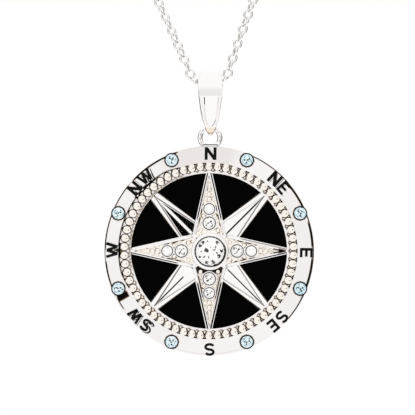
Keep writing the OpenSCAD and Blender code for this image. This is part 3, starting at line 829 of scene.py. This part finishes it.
lettering = {
    "height": 1.53, "stroke": 0.37, "sunk": 0.1,
    # how far each layer stands off the rim: dark copies of painted shade, bright edges, letters
    "copyStand": 0.006, "edgeStand": 0.011, "stand": 0.016,
    # each letter: its name, its bearing, its width, and how far out its foot lies
    "letters": [
        ("N", 0.8, 1.4, 11.02), ("N", 42.3, 1.3, 11.02), ("E", 49.6, 1.05, 11.02),
        ("E", 91, 1.15, 10.99), ("S", 132.2, 1.2, 11.13), ("E", 139.4, 1.0, 11.13),
        ("S", 179.8, 1.3, 11.16), ("S", 220.6, 1.2, 11.06), ("W", 228.8, 1.65, 11.06),
        ("W", 270.5, 1.85, 10.96), ("N", 310, 1.25, 10.98), ("W", 319.2, 1.7, 10.98)],
    # dark copies beside some letters, painted shade of the engraving: which letter, how far across and up,
    # and the stroke
    "copies": [(1, 0.3, 0, 0.07), (2, 0.26, -0.03, 0.06), (7, -0.35, 0, 0.46), (8, -0.3, -0.03, 0.09),
               (9, 0, -0.27, 0.3), (10, 0.22, -0.2, 0.22), (11, 0.29, -0.2, 0.22)],
    # a bright edge lies between where the copy is this thick, at a share of its distance
    "edgeFrom": 0.2, "edgeShare": 0.46,
}


# Strokes of a letter in a box one wide and one high: thickness and a line through points
def letterStrokes(letter):
    if letter == "N":
        posts = [(1, [(x, 0), (x, 1)]) for x in (0.12, 0.88)]
        return [*posts, (1.05, [(0.14, 0.93), (0.86, 0.07)])]
    if letter == "E":
        bars = [(0.86, [(0.05, y), (x, y)]) for x, y in ((1, 0.91), (0.92, 0.5), (1, 0.09))]
        return [(0.9, [(0.15, 0), (0.15, 1)]), *bars]
    if letter == "W":
        corners = [(0.06, 0.98), (0.28, 0.1), (0.5, 0.94), (0.72, 0.1), (0.94, 0.98)]
        return [(thickness, corners[k:k + 2]) for k, thickness in enumerate((0.9, 1, 0.9, 1))]
    arcs = ((0.36, 0.7, 0.2, np.linspace(20, 270, 16)), (0.38, 0.29, 0.205, np.linspace(90, -160, 16)[1:]))
    return [(0.85, [(0.5 + wide * math.cos(t), middle + high * math.sin(t))
                    for wide, middle, high, turn in arcs for t in np.radians(turn)])]


# A flat band of even width along a line, closed all round
def band(line, half, low, high):
    ahead = np.gradient(line, axis=0)
    ahead /= np.linalg.norm(ahead, axis=1)[:, None]
    side = stacked(-ahead[:, 1], ahead[:, 0]) * half
    edges = np.stack([line + side, line + side, line - side, line - side], 1)
    return closedRings(stacked(edges[..., 0], edges[..., 1], [low, high, high, low], 0))


# Letters sunk in the rim, tops outwards, each on its own bearing; their faces follow the rim's slope
def compassPoints(drawn):
    shells = []
    for (letter, bearing, width, foot), stroke, aside, above, stand in drawn:
        for thickness, line in letterStrokes(letter):
            x, y = np.array(line, float).T
            line = stacked((x - 0.5) * width + aside, foot + above + y * lettering["height"])
            shells.append(atBearing(band(line, thickness * stroke / 2, -lettering["sunk"], stand), bearing))
    placed, quads, fans = joined(shells)
    rise = (disc["edgeTop"] - disc["rimTop"]) / (disc["radius"] - disc["rimRadius"])
    placed[:, 2] += disc["rimTop"] + rise * (polar(placed)[1] - disc["rimRadius"])
    return placed, quads, fans


# The letters with their dark copies of painted shade, and the bright edges between, part of the way to each
# copy
def putLetters():
    p = lettering
    drawn = [(letter, p["stroke"], 0, 0, p["stand"]) for letter in p["letters"]]
    edges = []
    for index, aside, above, stroke in p["copies"]:
        letter = p["letters"][index]
        drawn.append((letter, stroke, aside, above, p["copyStand"]))
        if stroke > p["edgeFrom"]:
            share = p["edgeShare"]
            edges.append((letter, p["stroke"], share * aside, share * above, p["edgeStand"]))
    putOnDisc("compass_points", compassPoints(drawn), letterEnamel)
    putOnDisc("point_edges", compassPoints(edges), silver)


putLetters()

print("bail")

bail = {
    "across": 0.14, "topUp": 20.05, "topRadius": 1.75, "footUp": 15.02, "footRadius": 1.0, "thickness": 0.5,
    "bevel": 0.15, "browLength": 1.27, "browFrom": 9, "browTo": 15,
    # by height: half the strip's width, half its flat face's, how far that lies aside, and half its inner
    # side's, which is narrow at the foot so that the ring can swing
    "outline": [(13.98, 0.06), (14.1, 0.22), (14.4, 0.47), (14.7, 0.63), (15, 0.66), (15.4, 0.8),
                (15.85, 0.97), (17.1, 1.22), (18.3, 1.38), (20.1, 1.53), (20.6, 1.51), (20.95, 1.46),
                (21.55, 1.32), (21.8, 1.18)],
    "flat": [(13.9, 0.01), (14.92, 0.03), (15.37, 0.39), (15.85, 0.58), (17.06, 0.76), (18.66, 0.83),
             (18.72, 1.28), (20.05, 1.36), (20.6, 1.3), (21.9, 0.98)],
    "flatAside": [(16, 0.02), (18, 0.1), (18.66, 0.11), (18.72, 0)],
    "inner": [(15.1, 0.38), (15.7, 2)],
    # heights: the flat face's painted dark crease, its painted dark streak, the left side's painted dark
    # line, and the foot's painted gold reflection
    "creased": (15, 18.68), "streak": (17.7, 18.6), "leftLine": (15.1, 19.3), "goldBelow": 14.98,
    # the left side's painted shade darkens upwards from a height, over so far; the right crease's painted
    # shade is darker below a height
    "sideFade": (14.6, 2.2), "rightDark": (15.9, 0.45),
    "creaseShade": 0.2, "sideShade": 0.6, "stripShade": 0.045, "footShade": 0.8, "gold": -0.55,
}


# The drop-shaped path, forward and up, with the way it faces: a large arc over the top, a brow at the front
# that leans down, a crease, a straight side down to a small arc, and a straight back
def dropPath():
    b = bail
    lean = math.asin((b["topRadius"] - b["footRadius"]) / (b["topUp"] - b["footUp"]))

    def arc(turn, radius, up):
        return stacked(radius * np.cos(turn), up + radius * np.sin(turn))

    over = np.linspace(0, math.pi + lean, 60)
    top = arc(over, b["topRadius"], b["topUp"])
    browTurn = -np.radians(np.linspace(b["browFrom"], b["browTo"], 14))
    steps = stacked(np.sin(browTurn), -np.cos(browTurn)) * b["browLength"] / 13
    front = (np.array([b["topRadius"], b["topUp"] - 0.06]) + np.cumsum(steps, 0) - steps[0])[::-1]
    fall = front[0] - np.array([0, b["footUp"]])
    frontLean = math.atan2(*fall) - math.asin(b["footRadius"] / math.hypot(*fall))
    under = np.linspace(math.pi + lean, 2 * math.pi - frontLean, 36)
    foot = arc(under, b["footRadius"], b["footUp"])
    backLine = top[-1] + (foot[0] - top[-1]) * np.linspace(0, 1, 42)[1:-1, None]
    frontLine = foot[-1] + (front[0] - foot[-1]) * np.linspace(0, 0.99, 42)[1:, None]
    face = np.concatenate([over, np.full(40, math.pi + lean), under, np.full(41, -frontLean), browTurn[::-1]])
    return np.concatenate([top, backLine, foot, frontLine, front]), stacked(np.cos(face), np.sin(face))


# A strip with a flat face and bevelled sides carried round the drop path, its width set by its height. A
# painted dark line runs down each edge of the flat face, and the foot has a painted gold reflection
def bailStrip():
    b = bail
    path, face = dropPath()
    forward, up = path.T
    front = forward > 0

    def between(low, high):
        return front & (up > low) & (up < high)

    byHeight = ("outline", "flat", "flatAside", "inner")
    half, flat, aside, inner = (np.interp(up, *zip(*b[key])) for key in byHeight)
    flat = np.minimum(np.where(front, flat, 0.8 * half), half - 0.08)
    inner, aside = np.minimum(half, inner), aside * front
    bevel = np.minimum(b["bevel"], 0.15 * (half - flat))
    inFront = between(*b["creased"])
    onFoot = (up < b["goldBelow"]) & (forward > -0.3)
    gold = np.where(onFoot, b["gold"], 0)
    strip = np.where(front & (up > b["creased"][0]), b["stripShade"], gold)
    rim = np.where(onFoot, b["footShade"], strip)
    fade = np.maximum(ramp(up, *b["sideFade"]), 0.2)
    leftRim = np.where(between(*b["leftLine"]), b["sideShade"] * fade, rim)
    crease = np.where(inFront, b["creaseShade"], 0)
    rightCrease = np.where(inFront & (up < b["rightDark"][0]), b["rightDark"][1], 0.6 * crease)
    streak = np.where(between(*b["streak"]), 1, crease)
    wide, near = np.minimum(0.06, 0.4 * flat), np.minimum(0.035, 0.2 * flat)
    line = np.minimum(0.08, 0.3 * (half - flat))
    side = [(inner, b["thickness"], rim), (half, bevel, rim), (half - line, 0.7 * bevel, rim),
            (half - 1.3 * line, 0.65 * bevel, strip)]
    left = [(-x, depth, leftRim if k < 3 else tone) for k, (x, depth, tone) in enumerate(side)]
    middle = [(flat + wide, 0.1 * bevel, strip), (flat + near, 0.02 * bevel, rightCrease),
              (flat - near, 0, rightCrease), (flat - wide, 0, gold), (wide - flat, 0, gold),
              (near - flat, 0, streak), (-flat - near, 0.02 * bevel, streak),
              (-flat - wide, 0.1 * bevel, strip)]
    corners = [*side, *((aside + x, depth, tone) for x, depth, tone in middle), *left[::-1]]
    section = rounded(np.stack([stacked(*corner) for corner in corners], 1),
                      [0.06, 0.04] + [0.01] * 12 + [0.04, 0.06], 3)
    place = path[:, None] - face[:, None] * section[..., 1:2]
    return ringsShell(stacked(section[..., 0] + b["across"], place[..., 1], place[..., 0], section[..., 2]))


putPiece("bail_loop", facing(bailStrip(), discHeight), "bail", silver, ["bail"], even=True)

print("chain")

# The chain's route across and up, from the bail round to the clasp
chain = {
    "left": [(0, -187), (-1.4, -187), (-1.75, -186.95), (-1.95, -186.75), (-2.12, -186.45), (-2.52, -185.5),
             (-7.0, -175.5), (-25.15, -135.5), (-43.15, -95.5), (-52.15, -75.5), (-55.5, -67), (-57.5, -56),
             (-56.5, -43), (-53, -30.5), (-46, -19.5), (-36.5, -10), (-25, -3.5), (-13, -0.5), (-4.4, 0)],
    "right": [(0, -187), (1.25, -187), (1.6, -186.95), (1.9, -186.7), (2.1, -186.4), (2.4, -185.5),
              (5.9, -175.5), (20.3, -135.5), (34.7, -95.5), (41.9, -75.5), (45.5, -63), (47, -50),
              (44.5, -36.5), (39, -24.5), (30.5, -14), (19.5, -6), (10, -2), (2.9, 0)],
    "rightEnd": (3.725, 0),  # from there the right leg runs straight on to the clasp's end ring
    # castShade: how dark the painted shade is on each link's inner side
    "pitch": 0.944, "length": 1.45, "width": 1.24, "wire": 0.27, "twist": 7, "castShade": 0.24,
    # the first links have more columns and sides than the rest
    "fineLinks": 26, "fine": (28, 10), "plain": (12, 5),
}
clasp = {
    "bend": 2.3, "wire": 0.5, "eyeBend": 0.65, "eyeWire": 0.25, "eyeAt": -3.45,
    "triggerRadius": 0.4, "triggerHalf": 0.8, "endRingBend": 0.85, "endRingWire": 0.14, "endRingAt": 2.52,
}


# The smooth curve through a route: between two points a cubic whose ends follow each point's heading
def smoothRoute(route, perSpan=240):
    p = np.asarray(route, float)
    spans = np.diff(p, axis=0)
    lengths = np.linalg.norm(spans, axis=1)[:, None]
    units = spans / lengths
    middle = units[:-1] * lengths[1:] + units[1:] * lengths[:-1]
    middle /= np.linalg.norm(middle, axis=1)[:, None]
    ends = [[[np.sign(spans[k][0]), 0]] for k in (0, -1)]
    heading = np.concatenate([ends[0], middle, ends[1]])
    s = (np.arange(perSpan) / perSpan)[None, :, None]
    a, b = p[:-1, None], p[1:, None]
    startPull, endPull = (heading[:-1] * lengths)[:, None], (heading[1:] * lengths)[:, None]
    curve = (a * (2 * s ** 3 - 3 * s ** 2 + 1) + startPull * (s ** 3 - 2 * s ** 2 + s)
             + b * (3 * s ** 2 - 2 * s ** 3) + endPull * (s ** 3 - s ** 2))
    return np.concatenate([curve.reshape(-1, 2), p[-1:]])


# An oval link: a circle of wire carried round an ellipse, lying in the plane of its length and width, with
# painted shade on the wire's inner side
def ovalLink(columns, sides):
    c = chain
    a, b, r = (c["length"] - c["wire"]) / 2, (c["width"] - c["wire"]) / 2, c["wire"] / 2
    t = np.linspace(0, 2 * np.pi, columns, endpoint=False)[:, None]
    u = np.linspace(0, 2 * np.pi, sides, endpoint=False)
    size = np.hypot(b * np.cos(t), a * np.sin(t))
    outX, outY = b * np.cos(t) / size, a * np.sin(t) / size
    return ringsShell(stacked(a * np.cos(t) + outX * r * np.cos(u), b * np.sin(t) + outY * r * np.cos(u),
                              r * np.sin(u), c["castShade"] * np.clip(-1.6 * np.cos(u) - 0.5, 0, 1)))


# Links at even steps along a line, each turned a quarter from the last, leaning to one side and swaying a
# little. Their count is even or odd, so that the last one lies across the clasp's plane or in it
def chainLinks(line, firstLink, lastAcross, lean):
    c = chain
    reach = np.concatenate([[0], np.cumsum(np.linalg.norm(np.diff(line, axis=0), axis=1))])
    count = int(round(reach[-1] / c["pitch"]))
    count += (count % 2 == 0) != lastAcross
    number = np.arange(firstLink, count + 1)
    place = number * reach[-1] / count

    def onLine(at):
        return stacked(np.interp(at, reach, line[:, 0]), np.interp(at, reach, line[:, 1]))

    centre, ahead = onLine(place), onLine(place + 0.3) - onLine(place - 0.3)
    ahead /= np.linalg.norm(ahead, axis=1)[:, None]
    roll = 90 * (number % 2 == 0) + lean * ramp(number, 2, 4) + c["twist"] * np.sin(number * 2.4)
    roll = np.radians(roll)[:, None]
    long, flat = stacked(ahead[:, 0], 0, ahead[:, 1]), stacked(-ahead[:, 1], 0, ahead[:, 0])
    wide = flat * np.cos(roll) + np.array([0, 1, 0]) * np.sin(roll)
    turns = np.stack([long, wide, np.cross(long, wide)], 1)
    origin = stacked(centre[:, 0], 0, centre[:, 1])
    shells = []
    fine = c["fineLinks"]
    for chosen, fineness in ((slice(0, fine), c["fine"]), (slice(fine, None), c["plain"])):
        points, quads, fans = ovalLink(*fineness)
        moved = np.einsum("pk,nkj->npj", points[:, :3], turns[chosen]) + origin[chosen, None]
        moved = stacked(moved[..., 0], moved[..., 1], moved[..., 2], points[:, 3])
        step = (np.arange(len(moved)) * len(points))[:, None, None]
        shells.append((moved.reshape(-1, 4), (quads + step).reshape(-1, 4), fans))
    return joined(shells)


# A spring ring: a thick ring, a small eye, a thumb trigger, and the end ring that it holds
def springClasp():
    c = clasp
    half, r = c["triggerHalf"], c["triggerRadius"]
    corners = [[0, -half, 0], [r, -half, 0], [r, half, 0], [0, half, 0]]
    trigger = revolved(rounded(corners, [0, 0.15, 0.15, 0], 6, False), 24)
    points, quads, fans = torus(c["endRingBend"], c["endRingWire"], 40, 10)
    endRing = points[:, [0, 2, 1, 3]], quads[:, ::-1], fans
    return facing(joined([torus(c["bend"], c["wire"], 72, 20),
                          shifted(torus(c["eyeBend"], c["eyeWire"], 36, 12), c["eyeAt"], 0),
                          shifted(trigger, 0, c["bend"]), shifted(endRing, c["endRingAt"], 0)]))


rightLine = np.concatenate([smoothRoute(chain["right"]), [chain["rightEnd"]]])
for name, links in (("chain_left", chainLinks(smoothRoute(chain["left"]), 0, True, 32)),
                    ("chain_right", chainLinks(rightLine, 1, False, -25))):
    putPiece(name + "_links", links, "chain", silver, [name])
putPiece("spring_clasp", springClasp(), "chain", silver, ["clasp"])

for name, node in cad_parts.items():
    if name.startswith("enamel"):
        node.data.materials.clear()
        node.data.materials.append(fieldEnamel)

print("studio")

studio = {
    "lens": 200, "sensor": 36, "frameWidth": 50.2, "sideways": -0.21, "aboveDisc": 5.26,
    "floorUp": -300, "floorRadius": 600, "floorThickness": 6, "sky": (1, 1, 1),
    # cards: degrees off the line to the camera, bearing, inner and outer edge in degrees, colour
    "cards": [
        (180, 0, 66, 78, (0.05, 0.045, 0.04)), (180, 0, 48, 58, (0.85, 0.85, 0.85)),
        (100, 290, 36, 46, (0.03, 0.025, 0.025)), (100, 80, 36, 46, (0.04, 0.035, 0.03)),
        (120, 0, 58, 70, (1, 1, 1)), (112, 180, 45, 58, (1, 1, 1)), (46.8, 33, 3.2, 4.6, (0, 0, 0)),
        (46.8, 237, 3.2, 4.6, (0, 0, 0)), (31, 98, 9, 13, (0.05, 0.04, 0.03)),
        (28, 180, 2, 12, (0.85, 0.84, 0.84))],
    # what rays to the camera and onto matt surfaces see in place of the cards
    "rays": {"Is Camera Ray": (1, 1, 1), "Is Diffuse Ray": (1.15, 1.15, 1.15)},
}


# A long lens straight in front: as far off as the frame's width over the sensor's, times the lens
def placeCamera():
    s = studio
    camera = bpy.data.objects.new("camera", bpy.data.cameras.new("camera"))
    camera.data.lens = s["lens"]
    camera.data.sensor_width = s["sensor"]
    camera.data.clip_start = 0.01
    distance = s["frameWidth"] / s["sensor"] * s["lens"] + disc["rimTop"]
    place = (s["sideways"], -distance, discHeight + s["aboveDisc"])
    camera.location = [value * millimetre for value in place]
    camera.rotation_euler = (math.pi / 2, 0, 0)
    bpy.context.scene.collection.objects.link(camera)
    bpy.context.scene.camera = camera


# A white tent round the piece, with cards that only the metal and the stones mirror. A card is a round
# patch of the sky: the cosine of the angle from its middle, eased between its two edges
def tentWorld():
    world = bpy.data.worlds.new("tent")
    world.use_nodes = True
    tree = world.node_tree
    direction = addNode(tree, "TexCoord", {}, "Generated")
    light = studio["sky"]
    for angle, bearing, inner, outer, colour in studio["cards"]:
        a, b, inner, outer = (math.radians(value) for value in (angle, bearing, inner, outer))
        middle = (math.sin(a) * math.sin(b), -math.cos(a), math.sin(a) * math.cos(b))
        dot = addNode(tree, "VectorMath", {0: direction, 1: middle}, "Value", operation="DOT_PRODUCT")
        inputs = {"Value": dot, "From Min": math.cos(outer), "From Max": math.cos(inner)}
        card = addNode(tree, "MapRange", inputs, "Result", interpolation_type="SMOOTHSTEP")
        light = mixColour(tree, card, light, colour)
    for ray, colour in studio["rays"].items():
        light = mixColour(tree, addNode(tree, "LightPath", {}, ray), light, colour)
    setInputs(tree, tree.nodes["Background"], {"Color": light})
    bpy.context.scene.world = world
    bpy.context.scene.view_settings.view_transform = "Standard"


# A pale round floor under the necklace: rings out from its middle, closed by a thin edge
def paleFloor():
    radius, low = studio["floorRadius"], -studio["floorThickness"]
    corners = rounded([[0, low, 0], [radius, low, 0], [radius, 0, 0], [0, 0, 0]], [0, 2, 2, 0], 4, False)
    material, tree, shader = newMaterial("paleFloor")
    grain = objectNoise(tree, 40, 4)
    setInputs(tree, shader, {"Base Color": mixColour(tree, grain, (0.86, 0.86, 0.855), (0.82, 0.82, 0.815)),
                             "Roughness": 0.8})
    shell = shifted(revolved(subdivided(corners, 60), 96), 0, 0, studio["floorUp"])
    floor = newObject("floor", shell, material)
    floor.visible_glossy = False
    floor.visible_transmission = False


placeCamera()
tentWorld()
paleFloor()
